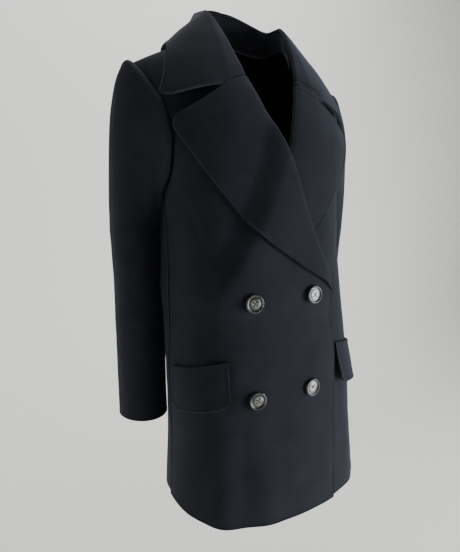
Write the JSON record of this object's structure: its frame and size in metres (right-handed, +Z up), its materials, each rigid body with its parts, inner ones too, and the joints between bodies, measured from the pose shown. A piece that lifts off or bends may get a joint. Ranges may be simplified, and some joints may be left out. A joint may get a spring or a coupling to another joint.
{
  "type": "pea coat",
  "caption": "Hollow double-breasted wool coat with wide notched lapels, a large collar, flap pockets and large buttons.",
  "frame": {"origin": "midway between the two points where the shoulder seams meet the neck, where a wearer's shoulders hold the coat up", "axes": "+Z up, the coat faces -Y, +X towards the wearer's left"},
  "size_m": [0.5069, 0.2783, 0.8404],
  "materials": {
    "melton": "matt brushed wool melton, navy black",
    "horn": "marbled grey-brown horn look, satin"
  },
  "bodies": {
    "root": {"back": "melton", "right_front": "melton", "left_front": "melton", "right_lapel": "melton", "left_lapel": "melton", "collar_fall": "melton", "collar_stand": "melton", "right_sleeve_front": "melton", "right_sleeve_back": "melton", "left_sleeve_front": "melton", "left_sleeve_back": "melton", "right_pocket_flap": "melton", "left_pocket_flap": "melton", "button_right_1": "horn", "button_left_1": "horn", "button_right_2": "horn", "button_left_2": "horn"}
  },
  "joints": []
}
